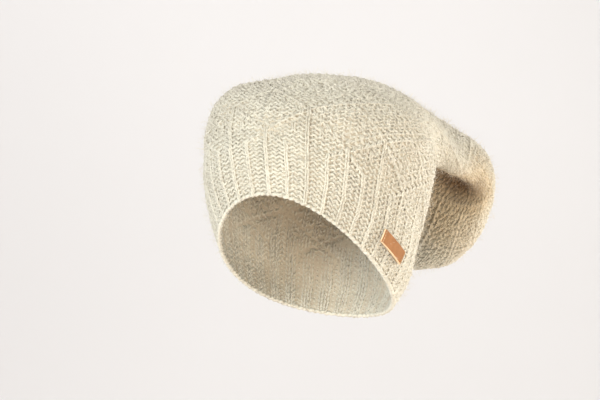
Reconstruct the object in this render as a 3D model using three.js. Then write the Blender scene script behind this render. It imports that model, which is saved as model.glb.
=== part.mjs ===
// A long knitted wool hat, worn: a ribbed band round the head, a crown that falls over the
// back in a soft slouch towards the wearer's left, and a small leather tab on the band.
// Millimetres. The wearer faces -Y, the wearer's left is +X, up is +Z.
// The origin is the centre of the head opening.
import * as THREE from 'three';

// Head opening and crown
const HALF_WIDTH = 71;        // half the opening's width, ear to ear
const HALF_LENGTH = 81;       // half the opening's length, brow to nape
const RISE = 147;             // top of the crown above the opening's centre
const DROP = 58;              // nape edge below the opening's centre
const REACH = 95;             // the slouch's far end behind the back of the head
const LEAN = 17;              // degrees that the slouch turns towards the wearer's left
const LEAN_CENTRE = -15;      // where it turns about, behind the origin
const KNIT_LENGTH = 355;      // the fabric from edge to tip
const WALL = 4.5;             // thickness of the knit
const FOLD_DEPTH = 0.4;       // how far off a fold's own plane it reaches, over HALF_WIDTH

// Ribbed band
const BAND_SHARE = 0.155;     // the band's share of the fabric's length
const RIB_COUNT = 36;         // knit ribs round the band
const RIB_HEIGHT = 0.8;       // rib crest over the middle of the slope
const RIB_FADE = 0.25;        // share of the band over which the ribs sink into the crown
const EDGE_ROUND = 1.2;       // rounding of the cast-on edge
const TOP_SHARE = 0.34;       // where the crown's sides end and its top begins
const SLOUCH_SHARE = 0.56;    // where the top ends and the drooping end begins
const SEAM_GAP = 0.4;         // between band, sides, top and slouch

// Leather tab
const TAB_LENGTH = 38;
const TAB_HEIGHT = 11;
const TAB_THICKNESS = 1.8;
const TAB_CORNER = 1.2;
const TAB_ROUND = 0.228;      // where it sits, as a share of the way round from the brow
const TAB_RUN = 0.056;        // and as a share of the way from edge to tip
const TAB_CLEARANCE = 0.3;    // over the rib crests

// Fineness
const CROWN_COLUMNS = 64;
const SIDE_ROWS = 6;
const TOP_ROWS = 11;
const SLOUCH_ROWS = 14;
const BAND_ROWS = 3;
const TAB_COLUMNS = 12;
const RING_SAMPLES = 240;

// Sections from the edge (run 0) to the tip (run 1). Each is an oval between a front and a
// back point in the middle plane. y: -1 brow edge, 1 nape edge, 2 the slouch's far end, as
// shares of HALF_LENGTH and REACH. z: shares of RISE above the origin and of DROP below it.
// width and sag: shares of HALF_WIDTH, sag being how far the sides lie towards the tip.
const SECTIONS = table(`
  run    frontY  frontZ  backY  backZ   width  square  sag     turn
  0.000  -0.985   0.395  1.000  -1.000  0.992  2.00    -0.198  0.00
  0.070  -1.041   0.541  1.15   -0.640  1.124  2.10    -0.166  0.00
  0.150  -1.055   0.697  1.18   -0.150  1.199  2.15    -0.090  0.05
  0.250  -0.920   0.879  1.18    0.130  1.279  2.15     0.000  0.20
  0.360  -0.610   0.972  1.15    0.345  1.300  2.05     0.012  0.42
  0.430  -0.290   1.018  1.163   0.452  1.215  2.02     0.000  0.56
  0.530   0.366   1.020  1.326   0.435  1.060  2.00     0.000  0.76
  0.600   0.901   0.940  1.450   0.240  1.010  2.00     0.020  0.87
  0.700   1.270   0.860  1.490  -0.080  1.000  2.05     0.045  0.95
  0.790   1.610   0.765  1.555  -0.360  0.970  2.10     0.040  0.99
  0.880   1.930   0.672  1.700  -0.150  0.880  2.10     0.010  1.00
  0.950   2.035   0.588  1.860   0.195  0.568  2.00     0.000  1.00
  0.985   2.015   0.530  1.965   0.410  0.231  2.00     0.000  1.00
  1.000   2.000   0.505  1.998   0.477  0.032  2.00     0.000  1.00
`).map(toSize);

// Folds and swells, one a row: where its middle lies (shares of the way from edge to tip
// and round from the brow towards the wearer's left), how it is turned from the length of
// the fabric, and its half-length, half-width and height as shares of HALF_WIDTH.
const FOLDS = table(`
  run   round  turn  along  across  height
  0.618  0.340   45   0.56   0.225  -0.210
  0.600  0.268   55   0.50   0.19    0.040
  0.515  0.325    0   0.37   0.24    0.150
  0.810  0.160    0   0.34   0.34    0.070
  0.330  0.915    0   0.34   0.32    0.060
  0.400  0.960   40   0.50   0.22   -0.030
  0.690  0.720   25   0.60   0.36   -0.090
  0.800  0.800   50   0.50   0.22   -0.050
  0.830  0.470  -15   0.42   0.22   -0.040
  0.850  0.610   10   0.42   0.22   -0.060
  0.870  0.110  -60   0.40   0.18   -0.035
  0.520  0.940   75   0.60   0.20   -0.030
`);

function table(text) {
  const [names, ...rows] = text.trim().split('\n').map((line) => line.trim().split(/\s+/));
  return rows.map((row) => Object.fromEntries(names.map((name, i) => [name, Number(row[i])])));
}

// A smooth curve through one column of the sections
function curve(name, run) {
  const rows = SECTIONS;
  const slope = (i) => {
    const a = rows[Math.max(i - 1, 0)];
    const b = rows[Math.min(i + 1, rows.length - 1)];
    return (b[name] - a[name]) / (b.run - a.run);
  };
  let i = 0;
  while (i < rows.length - 2 && run >= rows[i + 1].run) i += 1;
  const h = rows[i + 1].run - rows[i].run;
  const t = (run - rows[i].run) / h;
  const start = (2 * t ** 3 - 3 * t ** 2 + 1) * rows[i][name];
  const end = (3 * t ** 2 - 2 * t ** 3) * rows[i + 1][name];
  const leave = (t ** 3 - 2 * t ** 2 + t) * h * slope(i);
  const arrive = (t ** 3 - t ** 2) * h * slope(i + 1);
  return start + end + leave + arrive;
}

function backward(share) {
  return share <= 1 ? share * HALF_LENGTH : HALF_LENGTH + (share - 1) * REACH;
}

function upward(share) {
  return share >= 0 ? share * RISE : share * DROP;
}

function toSize(row) {
  return {
    ...row,
    frontY: backward(row.frontY),
    frontZ: upward(row.frontZ),
    backY: backward(row.backY),
    backZ: upward(row.backZ),
    width: row.width * HALF_WIDTH,
    sag: row.sag * HALF_WIDTH,
  };
}

// The point of a section at an angle: 0 at the brow, 90 degrees at the wearer's left
function sectionAt(run) {
  const front = { y: curve('frontY', run), z: curve('frontZ', run) };
  const back = { y: curve('backY', run), z: curve('backZ', run) };
  const width = curve('width', run);
  const sag = curve('sag', run);
  const power = 2 / curve('square', run);
  const turn = THREE.MathUtils.degToRad(LEAN * curve('turn', run));
  const half = { y: (front.y - back.y) / 2, z: (front.z - back.z) / 2 };
  const size = Math.hypot(half.y, half.z) + 1e-9;
  return (angle) => {
    const c = Math.cos(angle);
    const s = Math.sin(angle);
    const along = Math.sign(c) * Math.abs(c) ** power;
    const x = width * Math.sign(s) * Math.abs(s) ** power;
    const y = (front.y + back.y) / 2 + half.y * along + (half.z / size) * sag * s * s;
    const z = (front.z + back.z) / 2 + half.z * along - (half.y / size) * sag * s * s;
    return new THREE.Vector3(
      x * Math.cos(turn) + (y - LEAN_CENTRE) * Math.sin(turn),
      LEAN_CENTRE - x * Math.sin(turn) + (y - LEAN_CENTRE) * Math.cos(turn),
      z,
    );
  };
}

// Angles at even steps of length round each section, kept once worked out
const rings = new Map();
function ringAt(run) {
  if (!rings.has(run)) {
    const place = sectionAt(run);
    const lengths = [0];
    let last = place(0);
    for (let i = 1; i <= RING_SAMPLES; i += 1) {
      const next = place((2 * Math.PI * i) / RING_SAMPLES);
      lengths.push(lengths[i - 1] + next.distanceTo(last));
      last = next;
    }
    rings.set(run, { place, lengths });
  }
  return rings.get(run);
}

function plain(round, run) {
  const { place, lengths } = ringAt(run);
  const girth = lengths[RING_SAMPLES];
  const turns = Math.floor(round);
  const target = (round - turns) * girth;
  let low = 0;
  let high = RING_SAMPLES;
  while (high - low > 1) {
    const mid = (low + high) >> 1;
    if (lengths[mid] <= target) low = mid;
    else high = mid;
  }
  const share = (target - lengths[low]) / (lengths[high] - lengths[low]);
  return place((2 * Math.PI * (low + share)) / RING_SAMPLES);
}

// Each fold pushes the fabric along the direction square to it at the fold's middle
let foldPlaces = null;
function foldPlace(fold) {
  const centre = plain(fold.round, fold.run);
  const normal = outward(plain, fold.round, fold.run);
  const ahead = plain(fold.round, fold.run + 0.01).sub(plain(fold.round, fold.run - 0.01));
  const along = ahead.addScaledVector(normal, -ahead.dot(normal)).normalize();
  along.applyAxisAngle(normal, THREE.MathUtils.degToRad(fold.turn));
  const across = new THREE.Vector3().crossVectors(normal, along);
  return { ...fold, centre, normal, u: along, v: across };
}

function outward(surface, round, run) {
  const step = 0.004;
  const near = Math.max(run - step, 0);
  const far = Math.min(run + step, 1);
  const across = surface(round + step, run).sub(surface(round - step, run));
  const along = surface(round, far).sub(surface(round, near));
  return across.cross(along).normalize();
}

// The middle of the fabric with its folds
function folded(round, run) {
  foldPlaces ??= FOLDS.map(foldPlace);
  const point = plain(round, run);
  const shift = new THREE.Vector3();
  for (const fold of foldPlaces) {
    const from = point.clone().sub(fold.centre).divideScalar(HALF_WIDTH);
    const u = from.dot(fold.u) / fold.along;
    const v = from.dot(fold.v) / fold.across;
    const w = from.dot(fold.normal) / FOLD_DEPTH;
    shift.addScaledVector(fold.normal, fold.height * HALF_WIDTH * Math.exp(-u * u - v * v - w * w));
  }
  return point.add(shift);
}

function fabric(round, run, offset) {
  return folded(round, run).addScaledVector(outward(folded, round, run), offset);
}

// Runs at even steps of the longest travel between neighbouring sections
function evenRuns(first, last, count) {
  const fine = 160;
  const spots = Array.from({ length: 12 }, (_, i) => i / 12);
  const travel = [0];
  for (let i = 1; i <= fine; i += 1) {
    const a = first + ((last - first) * (i - 1)) / fine;
    const b = first + ((last - first) * i) / fine;
    const moves = spots.map((round) => plain(round, a).distanceTo(plain(round, b)));
    travel.push(travel[i - 1] + Math.max(...moves));
  }
  const runs = [];
  for (let k = 0; k <= count; k += 1) {
    const target = (travel[fine] * k) / count;
    let i = 1;
    while (i < fine && travel[i] < target) i += 1;
    const share = (target - travel[i - 1]) / (travel[i] - travel[i - 1]);
    runs.push(first + ((last - first) * (i - 1 + share)) / fine);
  }
  runs[count] = last;
  return runs;
}

// One body from rings of points. Without poles the last ring joins the first.
function body(ringList, poles) {
  const columns = ringList[0].length;
  const points = ringList.flat();
  const faces = [];
  const joins = poles ? ringList.length - 1 : ringList.length;
  for (let k = 0; k < joins; k += 1) {
    const near = k * columns;
    const far = ((k + 1) % ringList.length) * columns;
    for (let j = 0; j < columns; j += 1) {
      const next = (j + 1) % columns;
      // the closing join is cut the other way, so that it lies flat on its neighbour's end
      const cut = far < near ? [near + next, far + j] : [near + j, far + next];
      faces.push([near + j, near + next, cut[1]], [cut[0], far + next, far + j]);
    }
  }
  if (poles) {
    const [first, last] = poles.map((point) => points.push(point) - 1);
    const end = (ringList.length - 1) * columns;
    for (let j = 0; j < columns; j += 1) {
      const next = (j + 1) % columns;
      faces.push([first, next, j], [last, end + j, end + next]);
    }
  }
  return closed(points, faces);
}

function closed(points, faces) {
  const volume = faces.reduce((sum, [a, b, c]) => {
    return sum + points[a].dot(points[b].clone().cross(points[c]));
  }, 0);
  const index = faces.flatMap(([a, b, c]) => (volume > 0 ? [a, b, c] : [a, c, b]));
  const geometry = new THREE.BufferGeometry();
  geometry.setAttribute('position', new THREE.Float32BufferAttribute(points.flatMap((p) => p.toArray()), 3));
  geometry.setIndex(index);
  geometry.computeVertexNormals();
  return geometry;
}

function middle(ring) {
  return ring.reduce((sum, p) => sum.add(p), new THREE.Vector3()).divideScalar(ring.length);
}

function ring(columns, run, offset) {
  return Array.from({ length: columns }, (_, j) => {
    const height = typeof offset === 'function' ? offset(j, run) : offset;
    return fabric(j / columns, run, height);
  });
}

// One knit rib, two purl columns: four points a repeat
const RIB_PROFILE = [1, 0.1, -0.9, 0.1];
function ribFace(j, run) {
  const left = (BAND_SHARE - run) / (BAND_SHARE * RIB_FADE);
  const fade = THREE.MathUtils.smoothstep(left, 0, 1);
  return WALL / 2 + RIB_HEIGHT * fade * RIB_PROFILE[j % RIB_PROFILE.length];
}

function ribBand() {
  const columns = RIB_COUNT * RIB_PROFILE.length;
  const top = BAND_SHARE - SEAM_GAP / 2 / KNIT_LENGTH;
  const runs = evenRuns(0, top, BAND_ROWS);
  const outer = runs.map((run) => ring(columns, run, ribFace));
  const inner = runs.map((run) => ring(columns, run, -WALL / 2)).reverse();
  const edge = ring(columns, 0, 0).map((point, j) => {
    const away = point.clone().sub(fabric(j / columns, 0.01, 0)).normalize();
    return point.addScaledVector(away, EDGE_ROUND);
  });
  return body([edge, ...outer, ...inner], null);
}

// One stretch of the crown, a wall with an outer and an inner face. The last one closes at
// the tip.
function crownPart(first, last, rows) {
  const half = SEAM_GAP / 2 / KNIT_LENGTH;
  const isTip = last === 1;
  const runs = evenRuns(first + half, isTip ? 1 : last - half, rows);
  const outer = runs.map((run) => ring(CROWN_COLUMNS, run, WALL / 2)).reverse();
  const inner = runs.map((run) => ring(CROWN_COLUMNS, run, -WALL / 2));
  const poles = isTip ? [middle(outer[0]), middle(inner[rows])] : null;
  return body([...outer, ...inner], poles);
}

function leatherTab() {
  const girth = ringAt(TAB_RUN).lengths[RING_SAMPLES];
  const step = 0.01;
  const rate = plain(TAB_ROUND, TAB_RUN + step).distanceTo(plain(TAB_ROUND, TAB_RUN)) / step;
  const rest = WALL / 2 + RIB_HEIGHT + TAB_CLEARANCE;
  const points = [];
  for (let i = 0; i <= TAB_COLUMNS; i += 1) {
    const inner = THREE.MathUtils.mapLinear(i, 1, TAB_COLUMNS - 1, -1, 1) * (TAB_LENGTH / 2 - TAB_CORNER);
    const isEnd = i === 0 || i === TAB_COLUMNS;
    const along = isEnd ? (Math.sign(i - 1) * TAB_LENGTH) / 2 : inner;
    const half = isEnd ? TAB_HEIGHT / 2 - TAB_CORNER : TAB_HEIGHT / 2;
    const round = TAB_ROUND + along / girth;
    for (const lift of [rest, rest + TAB_THICKNESS]) {
      for (const up of [-half, 0, half]) points.push(fabric(round, TAB_RUN + up / rate, lift));
    }
  }
  const faces = [];
  const quad = (a, b, c, d) => faces.push([a, b, c], [a, c, d]);
  const loop = [0, 1, 2, 5, 4, 3];
  for (let i = 0; i < TAB_COLUMNS; i += 1) {
    loop.forEach((a, k) => {
      const b = loop[(k + 1) % loop.length];
      quad(i * 6 + a, i * 6 + b, (i + 1) * 6 + b, (i + 1) * 6 + a);
    });
  }
  const last = TAB_COLUMNS * 6;
  quad(0, 3, 4, 1);
  quad(1, 4, 5, 2);
  quad(last, last + 1, last + 4, last + 3);
  quad(last + 1, last + 2, last + 5, last + 4);
  return closed(points, faces);
}

const wool = { roughness: 0.95, metalness: 0 };
const parts = [
  ['rib_band', ribBand(), { ...wool, color: 0xcac1ad }],
  ['crown', crownPart(BAND_SHARE, TOP_SHARE, SIDE_ROWS), { ...wool, color: 0xc8bfaa }],
  ['crown_top', crownPart(TOP_SHARE, SLOUCH_SHARE, TOP_ROWS), { ...wool, color: 0xc6bda8 }],
  ['slouch', crownPart(SLOUCH_SHARE, 1, SLOUCH_ROWS), { ...wool, color: 0xc4bba6 }],
  ['leather_tab', leatherTab(), { roughness: 0.6, metalness: 0, color: 0xc08850 }],
];

const hat = new THREE.Group();
for (const [name, geometry, look] of parts) {
  const mesh = new THREE.Mesh(geometry, new THREE.MeshStandardMaterial(look));
  mesh.name = name;
  hat.add(mesh);
}

export default hat;
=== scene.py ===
"""A long wool hat, knitted in the round: ribbed band, slouching crown, leather tab.

The fabric is laid out stitch by stitch over the hat's form. Each course of knitting is one
length of yarn that loops round the hat; the yarn is then given its thickness, its ply and
its loose fibres. The wearer faces -Y, the wearer's left is +X. The form is worked out in
millimetres, and every mesh is made in metres.
"""
import math
import bmesh
import bpy
import numpy as np
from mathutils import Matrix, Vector


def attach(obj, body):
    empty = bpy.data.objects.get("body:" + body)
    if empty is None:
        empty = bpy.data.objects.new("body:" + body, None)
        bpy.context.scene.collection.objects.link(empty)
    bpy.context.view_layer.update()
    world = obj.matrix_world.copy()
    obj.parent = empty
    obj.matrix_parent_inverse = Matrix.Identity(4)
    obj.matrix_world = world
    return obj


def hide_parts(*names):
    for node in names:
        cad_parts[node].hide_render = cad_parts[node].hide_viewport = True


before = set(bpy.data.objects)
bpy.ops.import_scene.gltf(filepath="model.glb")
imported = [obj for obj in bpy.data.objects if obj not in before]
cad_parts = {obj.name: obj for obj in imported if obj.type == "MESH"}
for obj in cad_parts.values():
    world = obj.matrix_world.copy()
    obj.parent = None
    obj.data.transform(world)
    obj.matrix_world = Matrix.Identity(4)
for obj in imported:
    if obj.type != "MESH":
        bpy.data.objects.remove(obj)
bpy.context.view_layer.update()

MM = 0.001
SEED = 41

# The hat's form, millimetres and degrees
HALF_WIDTH = 71.0          # half the opening's width, ear to ear
HALF_LENGTH = 81.0         # half the opening's length, brow to nape
RISE = 147.0               # top of the crown above the opening's centre
DROP = 58.0                # nape edge below the opening's centre
REACH = 95.0               # the slouch's far end behind the nape edge
LEAN = 17.0                # how far the slouch turns towards the wearer's left
LEAN_CENTRE = -15.0        # where it turns about, behind the origin
WALL = 4.5                 # thickness of the knit
RIB_HEIGHT = 0.8           # rib crest over the wall's middle slope
FOLD_DEPTH = 0.4           # how far off a fold's own plane it reaches, over HALF_WIDTH
RING_SAMPLES = 241         # points that measure one section

# Sections from the edge (run 0) to the tip (run 1), each an oval between a front and a back
# point in the middle plane. y: -1 brow edge, 1 nape edge, 2 the slouch's far end, as shares of
# HALF_LENGTH and REACH. z: shares of RISE above the origin and of DROP below it. width and sag:
# shares of HALF_WIDTH. turn: share of LEAN.
SECTIONS = """
run    front_y front_z back_y  back_z  width  square  sag     turn
0.000  -0.985   0.395  1.000   -1.000  0.992  2.00    -0.198  0.00
0.070  -1.041   0.541  1.150   -0.640  1.124  2.10    -0.166  0.00
0.150  -1.055   0.697  1.180   -0.150  1.199  2.15    -0.090  0.05
0.250  -0.920   0.879  1.180    0.130  1.279  2.15     0.000  0.20
0.360  -0.610   0.972  1.150    0.345  1.300  2.05     0.012  0.42
0.430  -0.290   1.018  1.163    0.452  1.215  2.02     0.000  0.56
0.530   0.366   1.020  1.326    0.435  1.060  2.00     0.000  0.76
0.600   0.901   0.940  1.450    0.240  1.010  2.00     0.020  0.87
0.700   1.270   0.860  1.490   -0.080  1.000  2.05     0.045  0.95
0.790   1.610   0.765  1.555   -0.360  0.970  2.10     0.040  0.99
0.880   1.930   0.672  1.700   -0.150  0.880  2.10     0.010  1.00
0.950   2.035   0.588  1.860    0.195  0.568  2.00     0.000  1.00
0.985   2.015   0.530  1.965    0.410  0.231  2.00     0.000  1.00
1.000   2.000   0.505  1.998    0.477  0.032  2.00     0.000  1.00
"""
# Folds: where each is centred, which way it runs (degrees from the way to the tip), its reach
# along and across itself and its height, as shares of HALF_WIDTH
FOLDS = """
run    round  turn  along  across  height
0.618  0.340   45   0.56   0.225  -0.210
0.600  0.268   55   0.50   0.19    0.040
0.515  0.325    0   0.37   0.24    0.150
0.810  0.160    0   0.34   0.34    0.070
0.330  0.915    0   0.34   0.32    0.060
0.400  0.960   40   0.50   0.22   -0.030
0.690  0.720   25   0.60   0.36   -0.090
0.800  0.800   50   0.50   0.22   -0.050
0.830  0.470  -15   0.42   0.22   -0.040
0.850  0.610   10   0.42   0.22   -0.060
0.870  0.110  -60   0.40   0.18   -0.035
0.520  0.940   75   0.60   0.20   -0.030
"""
# Painted shade where the slouch is hollow: the wool there is painted darker and browner in any light, laid
# out as the folds are, with how much is painted in the last column
PAINTED_SHADE_SPOTS = """
run    round  turn  along  across  brown
0.598  0.348   55   0.52   0.27    0.98
0.620  0.420   45   0.45   0.40    0.20
0.655  0.405   45   0.52   0.32    0.22
"""


def table(text):
    """A table's columns by name."""
    names, *rows = [line.split() for line in text.strip().splitlines()]
    return {name: np.array([float(row[i]) for row in rows]) for i, name in enumerate(names)}


def backward(share):
    """Distance behind the origin."""
    return np.where(share <= 1, share * HALF_LENGTH, HALF_LENGTH + (share - 1) * REACH)


def upward(share):
    """Height over the origin."""
    return np.where(share >= 0, share * RISE, share * DROP)


sections = table(SECTIONS)
for name in ("front_y", "back_y"):
    sections[name] = backward(sections[name])
for name in ("front_z", "back_z"):
    sections[name] = upward(sections[name])
for name in ("width", "sag"):
    sections[name] = sections[name] * HALF_WIDTH


def curve(name, run):
    """A smooth curve through one column of the sections."""
    xs, ys = sections["run"], sections[name]
    slope = np.empty_like(ys)
    slope[1:-1] = (ys[2:] - ys[:-2]) / (xs[2:] - xs[:-2])
    slope[0] = (ys[1] - ys[0]) / (xs[1] - xs[0])
    slope[-1] = (ys[-1] - ys[-2]) / (xs[-1] - xs[-2])
    i = np.clip(np.searchsorted(xs, run, side="right") - 1, 0, len(xs) - 2)
    h = xs[i + 1] - xs[i]
    t = (run - xs[i]) / h
    return ((2 * t**3 - 3 * t**2 + 1) * ys[i] + (t**3 - 2 * t**2 + t) * h * slope[i]
            + (3 * t**2 - 2 * t**3) * ys[i + 1] + (t**3 - t**2) * h * slope[i + 1])


def section(angle, run):
    """Points of the plain form, before its folds."""
    front_y, front_z = curve("front_y", run), curve("front_z", run)
    back_y, back_z = curve("back_y", run), curve("back_z", run)
    sag, power = curve("sag", run), 2 / curve("square", run)
    turn = np.radians(LEAN * curve("turn", run))
    half_y, half_z = (front_y - back_y) / 2, (front_z - back_z) / 2
    size = np.hypot(half_y, half_z) + 1e-9
    c, s = np.cos(angle), np.sin(angle)
    along = np.sign(c) * np.abs(c) ** power
    x = curve("width", run) * np.sign(s) * np.abs(s) ** power
    y = (front_y + back_y) / 2 + half_y * along + half_z / size * sag * s * s - LEAN_CENTRE
    z = (front_z + back_z) / 2 + half_z * along - half_y / size * sag * s * s
    return np.stack([x * np.cos(turn) + y * np.sin(turn),
                     LEAN_CENTRE - x * np.sin(turn) + y * np.cos(turn), z], -1)


def plain(rounds, runs):
    """Points at even lengths round each section: rounds (n,), runs (m,) -> (m, n, 3)."""
    angles = np.linspace(0, 2 * np.pi, RING_SAMPLES)
    rings = []
    for run in runs:
        ring = section(angles, np.full_like(angles, run))
        steps = np.sqrt((np.diff(ring, axis=0) ** 2).sum(1))
        length = np.concatenate([[0], np.cumsum(steps)])
        at = np.interp((rounds % 1) * length[-1], length, angles)
        rings.append(section(at, np.full_like(at, run)))
    return np.array(rings)


def outward(surface, rounds, runs, step=0.004):
    """Unit normals of a surface, pointing out of the hat."""
    across = surface(rounds + step, runs) - surface(rounds - step, runs)
    along = surface(rounds, np.minimum(runs + step, 1)) - surface(rounds, np.maximum(runs - step, 0))
    normal = np.cross(across, along)
    return normal / np.linalg.norm(normal, axis=-1, keepdims=True)


def fold_places(rows, step=0.01):
    """Each row of a table with its centre and its own three directions."""
    places = []
    for k in range(len(rows["run"])):
        row = {name: float(column[k]) for name, column in rows.items()}
        at_round, at_run = np.array([row["round"]]), np.array([row["run"]])
        centre = plain(at_round, at_run)[0, 0]
        normal = outward(plain, at_round, at_run)[0, 0]
        ahead = (plain(at_round, at_run + step) - plain(at_round, at_run - step))[0, 0]
        ahead -= normal * (ahead @ normal)
        ahead /= np.linalg.norm(ahead)
        turn = math.radians(row["turn"])
        along = ahead * math.cos(turn) + np.cross(normal, ahead) * math.sin(turn)
        places.append((row, centre, normal, along, np.cross(normal, along)))
    return places


fold_list = fold_places(table(FOLDS))
painted_shade_spots = fold_places(table(PAINTED_SHADE_SPOTS))


def shares_of(place, points):
    """How much of a fold or of a spot of painted shade reaches each point, 0 to 1."""
    row, centre, normal, along, across = place
    away = (points - centre) / HALF_WIDTH
    u, v, w = away @ along / row["along"], away @ across / row["across"], away @ normal / FOLD_DEPTH
    return np.exp(-u * u - v * v - w * w)


def painted_shade_share(rounds, runs):
    """How much painted shade a place gets in the slouch's hollow, 0 to 1."""
    points = plain(rounds, runs)
    return np.clip(sum(place[0]["brown"] * shares_of(place, points) for place in painted_shade_spots), 0, 1)


def folded(rounds, runs):
    """The middle of the fabric with its folds."""
    points = plain(rounds, runs)
    shift = np.zeros_like(points)
    for place in fold_list:
        push = place[0]["height"] * HALF_WIDTH * shares_of(place, points)
        shift += place[2] * push[..., None]
    return points + shift


# The knitting; lengths in millimetres where nothing else is said
WALES = 108                # stitches round, three to a rib
RIB_PITCH = 3              # stitches from rib to rib
REPEAT = 12                # stitches in one repeat of the lattice
REPEATS = 9                # lattice repeats round
COURSES = 100              # rows from edge to tip
BAND_COURSES = 12          # ribbed rows
GATHER_COURSES = 3         # rows in which two ribs travel in to a third
MIDDLE_RIB_COURSES = 6.5   # rows over which the rib between two gathers goes on
LATTICE_SOFTENS = 8        # rows over which the lattice sinks to its own height
LATTICE_SOFTNESS = 0.42    # how much lower than the ribs it is
DECREASES = (WALES, 72, 54, 36, 18, 9)   # stitches round, as the crown narrows
LAST_STITCHES = 6
NARROWEST_STITCH = 3.7
MEASURED_RUNS, MEASURED_ROUNDS = 301, 24   # where the fabric's length is measured
LONGEST_SIDE_SHARE = 0.55  # how much the longest side, not the mean, sets the rows apart
LOOP_POINTS = 8            # points along one stitch
YARN_SIDES = 4
YARN_RADIUS = 1.08
LOOP_HEIGHT = 0.80         # half a loop's height, in rows
KNIT_LEAN = 0.17           # how far the legs of a knit stitch spread, in stitches
PURL_LEAN = 0.25           # and of a purl stitch, whose heads are wide bumps
KNIT_SQUEEZE = 0.38        # how much closer a knit stitch's legs are drawn
KNIT_DEPTH = 0.70          # legs before and heads behind the middle
PURL_DEPTH = 0.95
KNIT_REACH = 0.52          # stitches this near to a raised line are knit
SEED_CLEAR = 1.6           # and single knit stitches stay this far from one
LINE_SLANT = 0.30          # how much a travelling stitch leans, over its height
RIDGE = 1.15               # how far a line of knit stitches stands proud
RIDGE_WIDTH = 0.75         # and how wide it is, in stitches
RIDGE_BASE = 0.35          # share of the ridge that lies below the middle
# hand tension, as a spread from stitch to stitch
TALL_SPREAD, WIDE_SPREAD, STRAY_SPREAD, PROUD_SPREAD, HEFT_SPREAD = 0.07, 0.10, 0.035, 0.10, 0.07
SLOW_HEFT = 0.05           # slow changes of thickness
SLOW_LIFT = 0.45           # and of height, which grow over the first rows
SLOW_LIFT_COURSES = 10
# ripples of the slow changes: turns round the hat, rate along it, start
RIPPLES = ((7, 0.31, 0.4), (11, -0.23, 2.1), (17, 0.47, 4.0), (5, -0.71, 1.2))
CORD_SWING, CORD_DROP, CORD_HEFT = 0.7, 0.30, 1.70   # the cast-on edge's winding and thickness
GROUND_OUTER, GROUND_INNER = -0.25, -0.75            # the felted ground's two faces
NAP_LIFT = 1.35            # the skin that the loose fibres stand on
ELSEWHERE = 9.0            # stitches to a line that isn't in this row

rng = np.random.default_rng(SEED)


def course_runs():
    """Where each half row lies: even steps of travel, led by the longest side."""
    runs = np.linspace(0, 1, MEASURED_RUNS)
    points = plain(np.arange(MEASURED_ROUNDS) / MEASURED_ROUNDS, runs)
    travel = np.sqrt((np.diff(points, axis=0) ** 2).sum(-1))
    steps = LONGEST_SIDE_SHARE * travel.max(1) + (1 - LONGEST_SIDE_SHARE) * travel.mean(1)
    length = np.concatenate([[0], np.cumsum(steps)])
    return np.interp(np.linspace(0, length[-1], 2 * COURSES + 1), length, runs)


row_runs = course_runs()
GRID_COLUMNS = 4 * WALES
grid_rounds = np.arange(GRID_COLUMNS) / GRID_COLUMNS
fabric_points = folded(grid_rounds, row_runs)


def grid_normals(points):
    """Unit normals of a grid of points that closes round its rows."""
    across = np.roll(points, -1, 1) - np.roll(points, 1, 1)
    along = np.empty_like(points)
    along[1:-1] = points[2:] - points[:-2]
    along[0], along[-1] = points[1] - points[0], points[-1] - points[-2]
    normal = np.cross(across, along)
    return normal / (np.linalg.norm(normal, axis=-1, keepdims=True) + 1e-12)


fabric_normals = grid_normals(fabric_points)
# how much painted shade each grid point gets in the slouch's hollow
fabric_painted_shade = painted_shade_share(grid_rounds, row_runs)
ring_lengths = np.sqrt(((np.roll(fabric_points, -1, 1) - fabric_points) ** 2).sum(-1)).sum(1)


def on_fabric(rounds, rows, lift):
    """Points over the fabric: share of the way round, row number, and height in mm."""
    u = (rounds % 1) * GRID_COLUMNS
    v = np.clip(rows * 2, 0, 2 * COURSES - 1e-6)
    u0, v0 = np.floor(u).astype(int), np.floor(v).astype(int)
    fu, fv = (u - u0)[..., None], (v - v0)[..., None]
    u0 %= GRID_COLUMNS
    u1, v1 = (u0 + 1) % GRID_COLUMNS, v0 + 1

    def blend(grid):
        return ((grid[v0, u0] * (1 - fu) + grid[v0, u1] * fu) * (1 - fv)
                + (grid[v1, u0] * (1 - fu) + grid[v1, u1] * fu) * fv)

    normal = blend(fabric_normals)
    normal /= np.linalg.norm(normal, axis=-1, keepdims=True) + 1e-12
    return blend(fabric_points) + normal * lift[..., None]


def painted_shade_at(rounds, rows):
    """How much painted shade the nearest grid point gets in the slouch's hollow."""
    u = np.floor((rounds % 1) * GRID_COLUMNS).astype(int) % GRID_COLUMNS
    return fabric_painted_shade[np.clip(np.round(rows * 2).astype(int), 0, 2 * COURSES), u]


def wales_at(row):
    """Stitches in a row: the crown is decreased towards the tip."""
    length = ring_lengths[min(2 * row + 1, 2 * COURSES)]
    for count in DECREASES:
        if length / count > NARROWEST_STITCH:
            return count
    return LAST_STITCHES


def nearest(at, period):
    """Signed distance to the nearest whole number of periods."""
    return (at / period + 0.5) % 1 * period - period / 2


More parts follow.
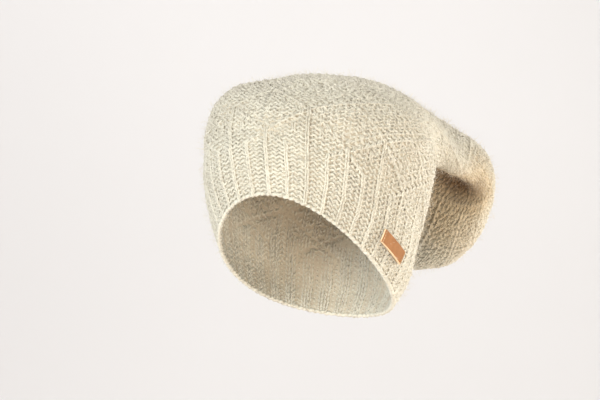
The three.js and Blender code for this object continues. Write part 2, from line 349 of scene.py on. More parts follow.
def line_distance(shares, row):
    """Stitches from the nearest raised line of knit, and which way that line travels.

    In the band the lines are ribs, three stitches apart. Over the next rows the ribs on
    both sides of every fourth one travel in to it, and from there lines cross as a lattice.
    """
    at = shares * REPEATS * REPEAT - 0.5
    row = np.broadcast_to(np.asarray(row, float), at.shape)
    above = row - BAND_COURSES
    gather = np.clip(above / GATHER_COURSES, 0, 1)
    climb = above - GATHER_COURSES
    # distances to every fourth rib, the two that travel in to it, the one between two
    # gathers, and the lattice's two families of lines; leans: the way that each travels
    gaps = np.stack([
        nearest(at, REPEAT),
        nearest(at - RIB_PITCH * (1 - gather), REPEAT),
        nearest(at + RIB_PITCH * (1 - gather), REPEAT),
        nearest(at - REPEAT / 2, REPEAT),
        nearest(at - climb, REPEAT),
        nearest(at + climb, REPEAT),
    ])
    leans = np.array([0, -0.75, 0.75, 0, 1, -1.0])
    gaps[:3] = np.where(climb < 0.5, gaps[:3], ELSEWHERE)
    gaps[3] = np.where(climb < MIDDLE_RIB_COURSES, gaps[3], ELSEWHERE)
    gaps[4:] = np.where(climb > 0, gaps[4:], ELSEWHERE)
    pick = np.abs(gaps).argmin(0)
    gap = np.take_along_axis(gaps, pick[None], 0)[0]
    lean = np.where(above < 0, 0, leans[pick])
    return gap, lean


def ridge_height(gap, rows):
    """Ribs stand proudest; the lattice above them is softer."""
    soft = np.clip((rows - BAND_COURSES - GATHER_COURSES) / LATTICE_SOFTENS, 0, 1)
    return RIDGE * (1 - LATTICE_SOFTNESS * soft) * (np.exp(-(gap / RIDGE_WIDTH) ** 2) - RIDGE_BASE)


def unevenness(rounds, row):
    """A slow wave over the fabric, about -1 to 1, from a few crossing ripples."""
    total = 0
    for turns, rate, start in RIPPLES:
        total = total + np.sin(2 * np.pi * turns * rounds + rate * row + start)
    return total / 3


def course(row):
    """One row of loops: its points, and each point's share of full thickness and of painted shade."""
    count = wales_at(row)
    stitch = np.repeat(np.arange(count), LOOP_POINTS)
    t = np.tile(np.arange(LOOP_POINTS) * 2 * np.pi / LOOP_POINTS, count)
    # hand tension: taller, wider, shifted and prouder stitches
    tall = 1 + TALL_SPREAD * rng.standard_normal(count)
    wide = 1 + WIDE_SPREAD * rng.standard_normal(count)
    stray = STRAY_SPREAD * rng.standard_normal(count)
    proud = PROUD_SPREAD * rng.standard_normal(count)
    # which stitches are knit, whose legs lie in front, and which are purl
    middle = (np.arange(count) + 0.5) / count
    gap, lean = line_distance(middle, row)
    knit = np.abs(gap) * count / WALES <= KNIT_REACH
    if row > BAND_COURSES + GATHER_COURSES:
        wale = np.floor(middle * WALES).astype(int)
        seed_stitch = ((wale + (row // 2) * 2) % 4 == 0) & (np.abs(gap) > SEED_CLEAR)
        knit = knit | seed_stitch
    face = np.where(knit, 1.0, -1.0)
    after = np.roll(face, -1)
    before = np.roll(face, 1)
    # beside a stitch of the other kind the yarn passes through the middle
    turn = t / (2 * np.pi)
    share = face[stitch]
    edge = np.where(turn < 0.5, (share + before[stitch]) / 2, (share + after[stitch]) / 2)
    ease = np.clip(np.abs(turn - 0.5) * 2, 0, 1) ** 3
    side = share * (1 - ease) + edge * ease
    # the loop's path: across in stitches, height in rows, and lift off the fabric
    swell = np.where(share > 0, KNIT_LEAN, PURL_LEAN) * wide[stitch]
    across = turn - 0.5 + swell * np.sin(2 * t)
    across *= 1 - np.where(share > 0, KNIT_SQUEEZE, 0) * (1 - ease)
    height = -LOOP_HEIGHT * tall[stitch] * np.cos(t)
    slant = np.where(knit, lean, 0)[stitch] * LINE_SLANT * height
    rounds = (stitch + 0.5 + across + stray[stitch] + slant) / count
    rows = row + 0.5 + height
    near, _ = line_distance(rounds, rows - 0.5)
    depth = np.where(side > 0, KNIT_DEPTH, PURL_DEPTH)
    lift = -depth * side * np.cos(2 * t) + ridge_height(near, rows) + proud[stitch]
    heft = 1 + HEFT_SPREAD * rng.standard_normal(len(t)) + SLOW_HEFT * unevenness(rounds, row)
    grown = min(row / SLOW_LIFT_COURSES, 1)
    lift = lift + SLOW_LIFT * unevenness(rounds + 0.37, row * 1.3) * grown
    # the first row's loops end at the rim
    if row == 0:
        rows = np.maximum(rows, 0.0)
    return on_fabric(rounds, rows, lift), heft, painted_shade_at(rounds, rows)


def edge_cord():
    """The cast-on edge: a yarn that winds along the rim, once for each stitch."""
    count = WALES * LOOP_POINTS
    rounds = np.arange(count) / count
    winding = rounds * WALES * 2 * np.pi
    rim = np.zeros(count)
    points = on_fabric(rounds, rim, CORD_SWING * np.sin(winding))
    down = on_fabric(rounds, rim, rim) - on_fabric(rounds, rim + 1, rim)
    down /= np.linalg.norm(down, axis=-1, keepdims=True)
    points += down * (CORD_DROP + CORD_DROP * np.cos(winding))[:, None]
    return points, np.full(count, CORD_HEFT), rim


def drawn_tip():
    """The tail of yarn that draws the last stitches together, laid as three small loops."""
    spots, count = 24, 48
    rounds = np.arange(spots) / spots
    last, before = (on_fabric(rounds, np.full(spots, row), np.zeros(spots)).mean(0)
                    for row in (COURSES - 0.1, COURSES - 4.0))
    ahead = (last - before) / np.linalg.norm(last - before)
    side = np.cross(ahead, (0, 0, 1.0))
    side /= np.linalg.norm(side)
    above = np.cross(side, ahead)
    turn = np.arange(count) * 2 * np.pi / count
    reach = 1.9 + 1.3 * np.cos(3 * turn)
    points = (last + np.outer(reach * np.cos(turn), side) + np.outer(reach * np.sin(turn), above)
              + np.outer(0.5 * np.sin(3 * turn) - 0.2, ahead))
    return points, np.full(count, 0.95), np.zeros(count)


def store_values(mesh, name, values):
    """A value for each point of a mesh."""
    store = mesh.attributes.new(name, "FLOAT", "POINT")
    store.data.foreach_set("value", np.asarray(values).astype(np.float32).ravel())


def yarn_object(name, rows, extra=()):
    """A bare chain of points per row, with thickness share, length along and share of painted shade."""
    points, hefts, edges, lengths, shade_paints = [], [], [], [], []
    start = 0
    runs = [course(row) for row in rows] + list(extra)
    for line, heft, shade_paint in runs:
        n = len(line)
        points.append(line * MM)
        hefts.append(heft)
        shade_paints.append(shade_paint)
        step = np.sqrt(((np.roll(line, -1, 0) - line) ** 2).sum(1))
        lengths.append(np.concatenate([[0], np.cumsum(step)[:-1]]) + 1000 * rng.random())
        index = np.arange(n) + start
        edges.append(np.stack([index, np.roll(index, -1)], -1))
        start += n
    mesh = bpy.data.meshes.new(name)
    joined = np.concatenate(points)
    links = np.concatenate(edges)
    mesh.vertices.add(len(joined))
    mesh.vertices.foreach_set("co", joined.astype(np.float32).ravel())
    mesh.edges.add(len(links))
    mesh.edges.foreach_set("vertices", links.astype(np.int32).ravel())
    # each point keeps its share of painted shade for the wool's colour
    for key, values in (("heft", hefts), ("length", lengths), ("shade_paint", shade_paints)):
        store_values(mesh, key, np.concatenate(values))
    mesh.update()
    thing = bpy.data.objects.new(name, mesh)
    bpy.context.collection.objects.link(thing)
    return thing


# Small helps for node trees
def new_tree(name, inputs):
    """A geometry tree with named inputs after the geometry."""
    tree = bpy.data.node_groups.new(name, "GeometryNodeTree")
    side = tree.interface.new_socket
    side("Geometry", in_out="INPUT", socket_type="NodeSocketGeometry")
    for label, socket, value in inputs:
        made = side(label, in_out="INPUT", socket_type=socket)
        if value is not None:
            made.default_value = value
    side("Geometry", in_out="OUTPUT", socket_type="NodeSocketGeometry")
    return tree


def add(tree, kind, links=None, **settings):
    """A node with its settings, fed by sockets or plain values."""
    made = tree.nodes.new(kind)
    for key, value in settings.items():
        setattr(made, key, value)
    for key, value in (links or {}).items():
        socket = made.inputs[key]
        if isinstance(value, bpy.types.NodeSocket):
            tree.links.new(value, socket)
        else:
            socket.default_value = value
    return made


def grow(source, name, tree, values, material):
    """Runs a geometry tree on an object and leaves the result as a plain mesh."""
    modifier = source.modifiers.new("grow", "NODES")
    modifier.node_group = tree
    values = dict(values, Material=material)
    for item in tree.interface.items_tree:
        if item.item_type == "SOCKET" and item.in_out == "INPUT" and item.name in values:
            modifier[item.identifier] = values[item.name]
    evaluated = source.evaluated_get(bpy.context.evaluated_depsgraph_get())
    mesh = bpy.data.meshes.new_from_object(evaluated)
    mesh.name = name
    mesh.materials.clear()
    mesh.materials.append(material)
    mesh.polygons.foreach_set("material_index", np.zeros(len(mesh.polygons), np.int32))
    thing = bpy.data.objects.new(name, mesh)
    bpy.context.collection.objects.link(thing)
    old = source.data
    bpy.data.objects.remove(source)
    bpy.data.meshes.remove(old)
    return thing


def yarn_tree():
    """Turns chains of points into yarn: a tube that is thicker and thinner along its way."""
    tree = new_tree("Yarn", [("Yarn radius", "NodeSocketFloat", 0.001),
                             ("Sides", "NodeSocketInt", 5),
                             ("Material", "NodeSocketMaterial", None)])
    given = tree.nodes.new("NodeGroupInput").outputs
    chain = add(tree, "GeometryNodeMeshToCurve", {"Mesh": given["Geometry"]})
    heft = add(tree, "GeometryNodeInputNamedAttribute", {"Name": "heft"}, data_type="FLOAT")
    radius = add(tree, "ShaderNodeMath", {0: heft.outputs["Attribute"], 1: given["Yarn radius"]},
                 operation="MULTIPLY")
    circle = add(tree, "GeometryNodeCurvePrimitiveCircle", {"Resolution": given["Sides"], "Radius": 1.0})
    place = add(tree, "GeometryNodeInputPosition")
    profile = add(tree, "GeometryNodeStoreNamedAttribute", {
        "Geometry": circle.outputs["Curve"], "Name": "girth", "Value": place.outputs["Position"],
    }, data_type="FLOAT_VECTOR", domain="POINT")
    tube = add(tree, "GeometryNodeCurveToMesh", {"Curve": chain.outputs["Curve"],
                                                 "Profile Curve": profile.outputs["Geometry"],
                                                 "Scale": radius.outputs[0], "Fill Caps": True})
    smooth = add(tree, "GeometryNodeSetShadeSmooth", {"Geometry": tube.outputs["Mesh"]})
    real = add(tree, "GeometryNodeRealizeInstances", {"Geometry": smooth.outputs["Geometry"]})
    painted = add(tree, "GeometryNodeSetMaterial", {"Geometry": real.outputs["Geometry"],
                                                    "Material": given["Material"]})
    out = tree.nodes.new("NodeGroupOutput")
    tree.links.new(painted.outputs["Geometry"], out.inputs["Geometry"])
    return tree


def fibre_tree():
    """Loose fibres: short bent hairs that stand on a skin over the yarn."""
    tree = new_tree("Loose fibres", [("Fibres per square metre", "NodeSocketFloat", 40000.0),
                                     ("Fibre length", "NodeSocketFloat", 0.005),
                                     ("Fibre radius", "NodeSocketFloat", 0.00005),
                                     ("Lean", "NodeSocketFloat", 1.2),
                                     ("Seed", "NodeSocketInt", SEED),
                                     ("Material", "NodeSocketMaterial", None)])
    given = tree.nodes.new("NodeGroupInput").outputs
    spots = add(tree, "GeometryNodeDistributePointsOnFaces", {
        "Mesh": given["Geometry"], "Density": given["Fibres per square metre"], "Seed": given["Seed"],
    }, distribute_method="RANDOM")
    arc = add(tree, "GeometryNodeCurveQuadraticBezier", {
        "Resolution": 2, "Start": (0, 0, -0.2), "Middle": (0.1, 0.05, 0.55), "End": (0.75, 0, 0.75)})
    circle = add(tree, "GeometryNodeCurvePrimitiveCircle", {"Resolution": 3, "Radius": 1.0})
    thin = add(tree, "ShaderNodeMath", {0: given["Fibre radius"], 1: given["Fibre length"]},
               operation="DIVIDE")
    hair = add(tree, "GeometryNodeCurveToMesh", {"Curve": arc.outputs["Curve"],
                                                 "Profile Curve": circle.outputs["Curve"],
                                                 "Scale": thin.outputs[0], "Fill Caps": True})
    lean_low = add(tree, "ShaderNodeMath", {0: given["Lean"], 1: -1.0}, operation="MULTIPLY")
    tilt = add(tree, "ShaderNodeCombineXYZ", {"X": given["Lean"], "Y": given["Lean"], "Z": 3.14159})
    tilt_low = add(tree, "ShaderNodeCombineXYZ", {"X": lean_low.outputs[0], "Y": lean_low.outputs[0],
                                                  "Z": -3.14159})
    any_way = add(tree, "FunctionNodeRandomValue", {0: tilt_low.outputs[0], 1: tilt.outputs[0],
                                                    "Seed": given["Seed"]}, data_type="FLOAT_VECTOR")
    swing = add(tree, "FunctionNodeEulerToRotation", {"Euler": any_way.outputs[0]})
    turned = add(tree, "FunctionNodeRotateRotation", {"Rotation": spots.outputs["Rotation"],
                                                      "Rotate By": swing.outputs["Rotation"]},
                 rotation_space="LOCAL")
    some_length = add(tree, "FunctionNodeRandomValue", {2: 0.35, 3: 1.25, "Seed": SEED + 1},
                      data_type="FLOAT")
    size = add(tree, "ShaderNodeMath", {0: some_length.outputs[1], 1: given["Fibre length"]},
               operation="MULTIPLY")
    hairs = add(tree, "GeometryNodeInstanceOnPoints", {
        "Points": spots.outputs["Points"], "Instance": hair.outputs["Mesh"],
        "Rotation": turned.outputs["Rotation"], "Scale": size.outputs[0]})
    real = add(tree, "GeometryNodeRealizeInstances", {"Geometry": hairs.outputs["Instances"]})
    painted = add(tree, "GeometryNodeSetMaterial", {"Geometry": real.outputs["Geometry"],
                                                    "Material": given["Material"]})
    out = tree.nodes.new("NodeGroupOutput")
    tree.links.new(painted.outputs["Geometry"], out.inputs["Geometry"])
    return tree


# Finishes; noise scales are per metre, colours linear
# Painted shade: the wool's colour is multiplied darker and browner with its share of painted shade in the
# slouch's hollow
PAINTED_SHADE_TINTS = [(0.0, (1, 1, 1)), (0.45, (0.97, 0.85, 0.70)), (1.0, (0.27, 0.165, 0.085))]


def new_material(name):
    """An empty material and its node tree."""
    made = bpy.data.materials.new(name)
    made.use_nodes = True
    made.node_tree.nodes.clear()
    return made, made.node_tree


def ramp(tree, fac, stops):
    """A colour that changes evenly between places from 0 to 1."""
    node = add(tree, "ShaderNodeValToRGB", {"Fac": fac})
    node.color_ramp.interpolation = "LINEAR"
    while len(node.color_ramp.elements) < len(stops):
        node.color_ramp.elements.new(0.5)
    for element, (place, colour) in zip(node.color_ramp.elements, stops):
        element.position = place
        element.color = (*colour, 1)
    return node.outputs["Color"]


def times(tree, colour, other):
    """Two colours multiplied."""
    mixed = add(tree, "ShaderNodeMix", {0: 1.0, 6: colour, 7: other}, data_type="RGBA",
                blend_type="MULTIPLY")
    return mixed.outputs[2]


def wool(name, pale, mid, dark, fluff=0.35):
    """Heather wool: pale fibre with darker flecks, two plies twisted, a soft felted nap."""
    made, tree = new_material(name)
    place = add(tree, "ShaderNodeTexCoord").outputs["Object"]
    length = add(tree, "ShaderNodeAttribute", attribute_name="length").outputs["Fac"]
    girth = add(tree, "ShaderNodeAttribute", attribute_name="girth").outputs["Vector"]
    # slow change of shade over the hat, then flecks a few millimetres long, then fibres
    cloud = add(tree, "ShaderNodeTexNoise", {"Vector": place, "Scale": 38.0, "Detail": 3.0})
    fleck = add(tree, "ShaderNodeTexNoise", {"Vector": place, "Scale": 430.0, "Detail": 3.0,
                                             "Roughness": 0.65})
    fine = add(tree, "ShaderNodeTexNoise", {"Vector": place, "Scale": 2100.0, "Detail": 3.0,
                                            "Roughness": 0.7})
    base = ramp(tree, cloud.outputs["Fac"], [(0.32, mid), (0.68, pale)])
    flecks = ramp(tree, fleck.outputs["Fac"], [(0.52, (0, 0, 0)), (0.68, (1, 1, 1))])
    speck = add(tree, "ShaderNodeMath", {0: flecks, 1: 0.58}, operation="MULTIPLY").outputs[0]
    heather = add(tree, "ShaderNodeMix", {0: speck, 6: base, 7: (*dark, 1)}, data_type="RGBA")
    # painted shade: darker, browner wool where the slouch is hollow, in any light
    shade_paint = add(tree, "ShaderNodeAttribute", attribute_name="shade_paint").outputs["Fac"]
    shade_painted = times(tree, heather.outputs[2], ramp(tree, shade_paint, PAINTED_SHADE_TINTS))
    strands = ramp(tree, fine.outputs["Fac"], [(0.30, (0.78, 0.77, 0.75)), (0.70, (1.0, 1.0, 1.0))])
    colour = times(tree, shade_painted, strands)
    # twist of the plies, without a seam round the yarn
    turn = add(tree, "ShaderNodeMath", {0: length, 1: 1.45}, operation="MULTIPLY").outputs[0]
    wave_s = add(tree, "ShaderNodeMath", {0: turn}, operation="SINE").outputs[0]
    wave_c = add(tree, "ShaderNodeMath", {0: turn}, operation="COSINE").outputs[0]
    wave = add(tree, "ShaderNodeCombineXYZ", {"X": wave_s, "Y": wave_c, "Z": 0.0}).outputs[0]
    ply = add(tree, "ShaderNodeVectorMath", {0: wave, 1: girth}, operation="DOT_PRODUCT").outputs["Value"]
    relief = add(tree, "ShaderNodeMath", {0: ply, 1: 0.55, 2: fine.outputs["Fac"]},
                 operation="MULTIPLY_ADD").outputs[0]
    bump = add(tree, "ShaderNodeBump", {"Height": relief, "Strength": 0.75, "Distance": 0.00045})
    rough = add(tree, "ShaderNodeMapRange", {"Value": fine.outputs["Fac"], "To Min": 0.78, "To Max": 0.98})
    shader = add(tree, "ShaderNodeBsdfPrincipled", {
        "Base Color": colour, "Roughness": rough.outputs[0], "Normal": bump.outputs["Normal"],
        "Sheen Weight": fluff, "Sheen Roughness": 0.55, "Sheen Tint": (1.0, 0.97, 0.92, 1),
        "Specular IOR Level": 0.18, "Subsurface Weight": 0.0})
    out = add(tree, "ShaderNodeOutputMaterial")
    tree.links.new(shader.outputs[0], out.inputs["Surface"])
    return made


def leather(name, face, worn):
    """Vegetable-tanned leather: fine pores and creases, drifting colour."""
    made, tree = new_material(name)
    place = add(tree, "ShaderNodeTexCoord").outputs["Object"]
    cloud = add(tree, "ShaderNodeTexNoise", {"Vector": place, "Scale": 170.0, "Detail": 4.0,
                                             "Roughness": 0.6})
    pores = add(tree, "ShaderNodeTexVoronoi", {"Vector": place, "Scale": 2600.0, "Randomness": 1.0})
    crease = add(tree, "ShaderNodeTexNoise", {"Vector": place, "Scale": 900.0, "Detail": 5.0,
                                              "Roughness": 0.7, "Distortion": 0.4})
    base = ramp(tree, cloud.outputs["Fac"], [(0.30, worn), (0.70, face)])
    shade = ramp(tree, crease.outputs["Fac"], [(0.30, (0.80, 0.78, 0.76)), (0.65, (1, 1, 1))])
    relief = add(tree, "ShaderNodeMath", {0: pores.outputs["Distance"], 1: 0.5,
                                          2: crease.outputs["Fac"]}, operation="MULTIPLY_ADD").outputs[0]
    bump = add(tree, "ShaderNodeBump", {"Height": relief, "Strength": 0.6, "Distance": 0.00012})
    rough = add(tree, "ShaderNodeMapRange", {"Value": crease.outputs["Fac"], "To Min": 0.42,
                                             "To Max": 0.66})
    shader = add(tree, "ShaderNodeBsdfPrincipled", {
        "Base Color": times(tree, base, shade), "Roughness": rough.outputs[0],
        "Normal": bump.outputs["Normal"], "Specular IOR Level": 0.4})
    out = add(tree, "ShaderNodeOutputMaterial")
    tree.links.new(shader.outputs[0], out.inputs["Surface"])
    return made


def paint(name, colour, roughness):
    """Matt paint with a slow, faint change of shade."""
    made, tree = new_material(name)
    place = add(tree, "ShaderNodeTexCoord").outputs["Object"]
    cloud = add(tree, "ShaderNodeTexNoise", {"Vector": place, "Scale": 1.2, "Detail": 2.0})
    low = tuple(0.985 * c for c in colour)
    shade = ramp(tree, cloud.outputs["Fac"], [(0.3, low), (0.7, colour)])
    shader = add(tree, "ShaderNodeBsdfPrincipled", {"Base Color": shade, "Roughness": roughness,
                                                    "Specular IOR Level": 0.1})
    out = add(tree, "ShaderNodeOutputMaterial")
    tree.links.new(shader.outputs[0], out.inputs["Surface"])
    return made


crown_wool = wool("Crown wool", (0.725, 0.70, 0.605), (0.645, 0.615, 0.52), (0.28, 0.235, 0.17))
band_wool = wool("Band wool", (0.735, 0.715, 0.62), (0.665, 0.64, 0.545), (0.29, 0.245, 0.18))
inner_wool = wool("Felted ground wool", (0.66, 0.60, 0.48), (0.60, 0.53, 0.42), (0.34, 0.28, 0.20), 0.2)
fibre_wool = wool("Loose fibre", (0.88, 0.84, 0.75), (0.80, 0.76, 0.66), (0.5, 0.45, 0.37), 0.6)
tab_leather = leather("Tab leather", (0.38, 0.175, 0.066), (0.30, 0.135, 0.049))
# pale cut leather, also used as a painted highlight along the tab's lower long edge
cut_edge_and_highlight = leather("Tab cut edge and painted highlight", (0.86, 0.66, 0.44), (0.76, 0.54, 0.33))
stitch_thread = wool("Sewing thread", (0.66, 0.47, 0.28), (0.56, 0.38, 0.20), (0.3, 0.18, 0.1), 0.3)


# Pieces
def mesh_object(name, points, faces):
    """A smooth mesh from points in millimetres."""
    mesh = bpy.data.meshes.new(name)
    mesh.from_pydata([tuple(p) for p in np.asarray(points) * MM], [], faces)
    mesh.polygons.foreach_set("use_smooth", [True] * len(mesh.polygons))
    mesh.update()
    thing = bpy.data.objects.new(name, mesh)
    bpy.context.collection.objects.link(thing)
    return thing


def ring_faces(rows, columns):
    """Faces between rings of points that lie one after another."""
    faces = []
    for i in range(rows - 1):
        for j in range(columns):
            k = (j + 1) % columns
            faces.append((i * columns + j, i * columns + k, (i + 1) * columns + k, (i + 1) * columns + j))
    return faces


def sheet_grid(rows):
    """Places over the stitches, one column a stitch, and how far the raised lines lift them."""
    rounds = np.broadcast_to((np.arange(WALES) + 0.5) / WALES, (len(rows), WALES))
    high = np.broadcast_to(rows[:, None], rounds.shape)
    near, _ = line_distance(rounds, high - 0.5)
    return rounds, high, ridge_height(near, high)


def felted_ground():
    """The fulled layer between the loops: a thin closed cloth that no light comes through."""
    columns = WALES
    rows = np.concatenate([np.arange(0.25, COURSES - 1, 1.0), [COURSES - 0.6]])
    at, high, ridge = sheet_grid(rows)
    outer = on_fabric(at, high, ridge + GROUND_OUTER)
    inner = on_fabric(at, high, ridge + GROUND_INNER)
    points = np.concatenate([outer.reshape(-1, 3), inner[::-1].reshape(-1, 3)])
    count = len(rows)
    faces = ring_faces(count, columns)
    faces += [tuple(corner + count * columns for corner in face) for face in faces]
    # the last ring is the rim inside, the first is the rim outside: join them
    last = (2 * count - 1) * columns
    for j in range(columns):
        k = (j + 1) % columns
        faces.append((last + j, last + k, k, j))
    # both layers are closed at the tip
    for base, flip in ((count - 1, False), (count, True)):
        centre = len(points)
        ring = np.arange(columns) + base * columns
        points = np.concatenate([points, points[ring].mean(0)[None]])
        for j in range(columns):
            k = (j + 1) % columns
            corner = (int(ring[j]), int(ring[k]), centre)
            faces.append(corner[::-1] if flip else corner)
    ground = mesh_object("felted_ground", points, faces)
    # painted shade in the slouch's hollow, on both faces of the ground
    shade_paint = painted_shade_at(at, high)
    store_values(ground.data, "shade_paint", np.concatenate([shade_paint.ravel(), shade_paint[::-1].ravel(), [0, 0]]))
    return ground


def skin(rows):
    """A bare surface over the yarn, which only carries the loose fibres."""
    at, high, ridge = sheet_grid(rows)
    points = on_fabric(at, high, NAP_LIFT + ridge)
    cover = mesh_object("skin", points.reshape(-1, 3), ring_faces(len(rows), WALES))
    # painted shade in the slouch's hollow, carried on to the loose fibres
    store_values(cover.data, "shade_paint", painted_shade_at(at, high))
    return cover


yarn = yarn_tree()
fibres = fibre_tree()
# each piece of yarn with its first row, the row after its last, and its finish
YARN_PIECES = [("band_yarn", 0, 16, band_wool), ("crown_yarn_1", 16, 34, crown_wool),
               ("crown_yarn_2", 34, 52, crown_wool), ("crown_yarn_3", 52, 72, crown_wool),
               ("crown_yarn_4", 72, COURSES - 1, crown_wool)]
knit = []
for name, first, last, finish in YARN_PIECES:
    extra = [edge_cord()] if first == 0 else [drawn_tip()] if last == COURSES - 1 else []
    chain = yarn_object(name + "_line", range(first, last), extra)
    piece = grow(chain, name, yarn, {"Yarn radius": YARN_RADIUS * MM, "Sides": YARN_SIDES}, finish)
    knit.append(piece)
ground = felted_ground()
ground.data.materials.append(inner_wool)
FIBRES = {"Fibres per square metre": 88000.0, "Fibre length": 0.0055, "Fibre radius": 0.00007,
          "Lean": 1.2, "Seed": SEED}
NAP_PIECES = [("loose_fibres_1", 0.5, 43.0), ("loose_fibres_2", 42.5, COURSES - 1)]
nap = [grow(skin(np.arange(first, last, 2.0)), name, fibres, FIBRES, fibre_wool)
       for name, first, last in NAP_PIECES]

for piece in knit + [ground] + nap:
    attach(piece, "root")
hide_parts("rib_band", "crown", "crown_top", "slouch")


# The leather tab, millimetres
TAB_LENGTH, TAB_HEIGHT, TAB_THICKNESS = 38.0, 11.0, 1.8
TAB_ROUND, TAB_RUN = 0.228, 0.056      # its middle: shares of the way round, and of edge to tip
TAB_CLEARANCE = 0.3                    # over the rib crests
TAB_REST = WALL / 2 + RIB_HEIGHT + TAB_CLEARANCE
TAB_CORNER, TAB_LEAST_CORNER = 1.2, 0.3
LONG_POINTS, SHORT_POINTS, CORNER_POINTS = 40, 10, 5
# the strip's edge from its back up to its face: distance in from the outline, and height
TAB_RIM = [(0.0, 0.0), (0.0, 0.55), (0.0, 1.25), (0.12, 1.6), (0.4, 1.77), (0.9, TAB_THICKNESS)]
PALE_RINGS = 3                         # rings of the rim that show the cut leather
FILL_SHARES = (0.75, 0.5, 0.25, 0.0)   # rings that close the face and the back
STITCH_INSET, STITCH_PITCH, STITCH_REACH, STITCH_POINTS = 2.0, 2.3, 1.6, 7
STITCHES_AN_END = 4
THREAD_RADIUS = 0.28


def tab_rates(step=0.02):
    """The fabric's girth under the tab, and its length for each unit of run."""
    ring = plain(np.arange(RING_SAMPLES) / (RING_SAMPLES - 1), [TAB_RUN])[0]
    girth = np.sqrt((np.diff(ring, axis=0) ** 2).sum(1)).sum()
    ends = folded(np.array([TAB_ROUND]), np.array([TAB_RUN - step, TAB_RUN + step]))[:, 0]
    return girth, np.linalg.norm(ends[1] - ends[0]) / (2 * step)


tab_girth, tab_length_rate = tab_rates()


def on_tab(along, up, lift):
    """A place over the ribs: along and up from the tab's middle, and over the tab's back."""
    rounds = np.array([TAB_ROUND + along / tab_girth])
    runs = np.array([TAB_RUN + up / tab_length_rate])
    return folded(rounds, runs)[0, 0] + outward(folded, rounds, runs)[0, 0] * (TAB_REST + lift)


def tab_outline(inset):
    """The strip's rounded outline, drawn in a little, from its lower long side round."""
    half, high = TAB_LENGTH / 2 - inset, TAB_HEIGHT / 2 - inset
    corner = max(TAB_CORNER - inset, TAB_LEAST_CORNER)
    x, y = half - corner, high - corner
    sides = [((-x, -high), (x, -high), LONG_POINTS), ((half, -y), (half, y), SHORT_POINTS),
             ((x, high), (-x, high), LONG_POINTS), ((-half, y), (-half, -y), SHORT_POINTS)]
    centres = [(x, -y), (x, y), (-x, y), (-x, -y)]
    outline = []
    for quarter, ((start, end, count), centre) in enumerate(zip(sides, centres)):
        outline += [tuple(spot) for spot in np.linspace(start, end, count)]
        for turn in np.radians(np.linspace(90 * quarter - 90, 90 * quarter, CORNER_POINTS)[1:-1]):
            outline.append((centre[0] + corner * math.cos(turn), centre[1] + corner * math.sin(turn)))
    return outline


def drawn_in(x, y, share):
    """A point of the outline, moved in towards the middle line of the strip."""
    end = max(abs(x) - (TAB_LENGTH - TAB_HEIGHT) / 2, 0)
    return math.copysign(abs(x) - end * (1 - share), x), y * share


def tab():
    """A strip with eased edges: its face, its cut edge and its back, bent over the ribs."""
    points, faces, kinds = [], [], []

    def lay(outline, lift):
        points.extend(on_tab(x, y, lift) for x, y in outline)
        return range(len(points) - len(outline), len(points))

    def join(lower, upper, is_pale, flip=False):
        for j in range(len(lower)):
            k = (j + 1) % len(lower)
            quad = (lower[j], lower[k], upper[k], upper[j])
            faces.append(quad[::-1] if flip else quad)
            kinds.append(int(is_pale(j)))

    outlines = [tab_outline(inset) for inset, _ in TAB_RIM]
    rings = [lay(outline, lift) for outline, (_, lift) in zip(outlines, TAB_RIM)]
    for i in range(len(rings) - 1):
        # the cut leather shows on the rim's lowest rings all round; along the lower long side the whole
        # eased edge gets it too, a painted highlight where light catches that edge
        join(rings[i], rings[i + 1], lambda j: i < PALE_RINGS or j < LONG_POINTS)
    for base, flip in ((-1, False), (0, True)):
        outer = rings[base]
        for share in FILL_SHARES:
            inner = lay([drawn_in(x, y, share) for x, y in outlines[base]], TAB_RIM[base][1])
            join(outer, inner, lambda j: False, flip)
            outer = inner
    strip = mesh_object("leather_tab_strip", points, faces)
    strip.data.materials.append(tab_leather)
    strip.data.materials.append(cut_edge_and_highlight)
    strip.data.polygons.foreach_set("material_index", kinds)
    work = bmesh.new()
    work.from_mesh(strip.data)
    bmesh.ops.remove_doubles(work, verts=work.verts, dist=1e-5)
    bmesh.ops.recalc_face_normals(work, faces=work.faces)
    work.to_mesh(strip.data)
    work.free()
    return strip


def tab_stitches():
    """Short sewing stitches across both ends of the tab."""
    points, edges, lengths = [], [], []
    for end in (-1, 1):
        along = end * (TAB_LENGTH / 2 - STITCH_INSET)
        for k in range(STITCHES_AN_END):
            middle = (k - (STITCHES_AN_END - 1) / 2) * STITCH_PITCH
            for share in np.linspace(-1, 1, STITCH_POINTS):
                lift = TAB_THICKNESS - 0.25 + 0.42 * math.sqrt(max(1 - share**2, 0))
                if len(points) % STITCH_POINTS:
                    edges.append((len(points) - 1, len(points)))
                points.append(on_tab(along + 0.12 * share, middle + share * STITCH_REACH / 2, lift))
                lengths.append(share * 0.8)
    mesh = bpy.data.meshes.new("thread_line")
    mesh.from_pydata([tuple(point * MM) for point in points], edges, [])
    for name, values in (("heft", np.ones(len(points))), ("length", lengths)):
        store_values(mesh, name, values)
    line = bpy.data.objects.new("thread_line", mesh)
    bpy.context.collection.objects.link(line)
    return grow(line, "tab_stitches", yarn, {"Yarn radius": THREAD_RADIUS * MM, "Sides": 8}, stitch_thread)


strip = tab()
thread = tab_stitches()
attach(thread, "root")
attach(strip, "root")
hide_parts("leather_tab")


# Floor, camera and light, metres
FLOOR = -0.85
FLOOR_NEAR, FLOOR_FAR, FLOOR_BEND = -2.5, 1.2, 0.9    # where the floor starts and curves up
WALL_TOP, STAGE_HALF = 4.0, 4.0
AZIMUTH, ELEVATION = math.radians(25.5), math.radians(4.0)
DISTANCE, RAISE, ASIDE = 1.6667, 0.0475, -0.0083      # the camera from the origin
LENS, SENSOR = 120, 36                                # millimetres

back = Vector((math.sin(AZIMUTH) * math.cos(ELEVATION), -math.cos(AZIMUTH) * math.cos(ELEVATION),
               math.sin(ELEVATION)))
right = Vector((math.cos(AZIMUTH), math.sin(AZIMUTH), 0))
up = right.cross(-back)


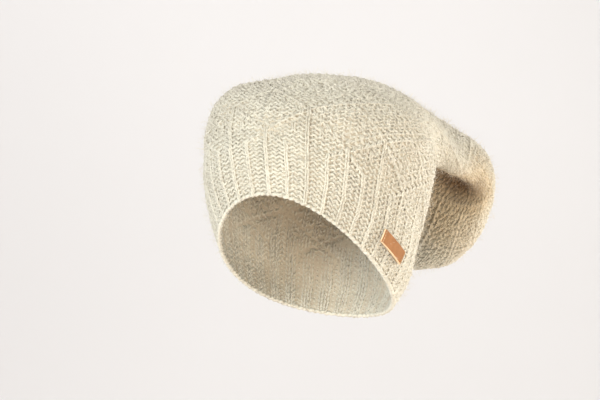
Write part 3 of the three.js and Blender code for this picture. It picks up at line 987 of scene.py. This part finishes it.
def pale_stage():
    """A floor that curves up into a wall, square to the camera."""
    bend = [(FLOOR_FAR + FLOOR_BEND * math.sin(a), FLOOR + FLOOR_BEND - FLOOR_BEND * math.cos(a))
            for a in np.linspace(0, math.pi / 2, 13)]
    profile = [(FLOOR_NEAR, FLOOR)] + bend + [(FLOOR_FAR + FLOOR_BEND, WALL_TOP)]
    points = []
    for depth, height in profile:
        for side in (-STAGE_HALF, STAGE_HALF):
            points.append((side * math.cos(AZIMUTH) - depth * math.sin(AZIMUTH),
                           side * math.sin(AZIMUTH) + depth * math.cos(AZIMUTH), height))
    stage = mesh_object("Backdrop", np.array(points) / MM,
                        [(2 * i, 2 * i + 1, 2 * i + 3, 2 * i + 2) for i in range(len(profile) - 1)])
    stage.data.materials.append(paint("Pale floor", (0.805, 0.81, 0.83), 0.9))
    return stage


pale_stage()

camera = bpy.data.objects.new("Camera", bpy.data.cameras.new("Camera"))
bpy.context.collection.objects.link(camera)
camera.data.lens, camera.data.sensor_width = LENS, SENSOR
camera.location = back * DISTANCE + up * RAISE + right * ASIDE
camera.rotation_mode = "QUATERNION"
camera.rotation_quaternion = (-back).to_track_quat("-Z", "Y")
camera.data.clip_start, camera.data.clip_end = 0.05, 30
bpy.context.scene.camera = camera


def soft_light(name, where, size, power, colour, aim=(0.0, 0.03, 0.05)):
    """A round area light that faces the hat."""
    made = bpy.data.lights.new(name, "AREA")
    made.shape, made.size, made.energy, made.color = "DISK", size, power, colour
    lamp = bpy.data.objects.new(name, made)
    lamp.location = where
    lamp.rotation_mode = "QUATERNION"
    lamp.rotation_quaternion = (Vector(aim) - Vector(where)).to_track_quat("-Z", "Y")
    bpy.context.collection.objects.link(lamp)


def from_view(aside, high, near):
    """A place seen from the camera: to its right, above the origin, and towards it."""
    level = Vector((back.x, back.y, 0)).normalized()
    return tuple(right * aside + Vector((0, 0, 1)) * high + level * near)


soft_light("Window", from_view(-1.25, 0.60, 1.30), 0.9, 43, (0.975, 1.0, 0.995))
soft_light("Side", from_view(1.7, 0.45, -0.18), 0.8, 35, (1.0, 0.995, 0.97))
soft_light("Front", from_view(0.7, 0.15, 1.9), 0.9, 22, (0.955, 0.95, 0.89))
soft_light("Warm bounce", from_view(0.50, -0.62, 0.85), 0.5, 4, (1.0, 0.66, 0.38))
soft_light("Backdrop light", from_view(-0.7, 1.5, -0.9), 2.0, 12, (0.99, 0.985, 1.0),
           from_view(-0.5, -0.3, -2.0))
world = bpy.data.worlds.new("World")
world.use_nodes = True
surround = world.node_tree.nodes["Background"]
surround.inputs["Color"].default_value = (1.0, 0.60, 0.28, 1)
surround.inputs["Strength"].default_value = 0.13
bpy.context.scene.world = world
bpy.context.scene.view_settings.view_transform = "Standard"
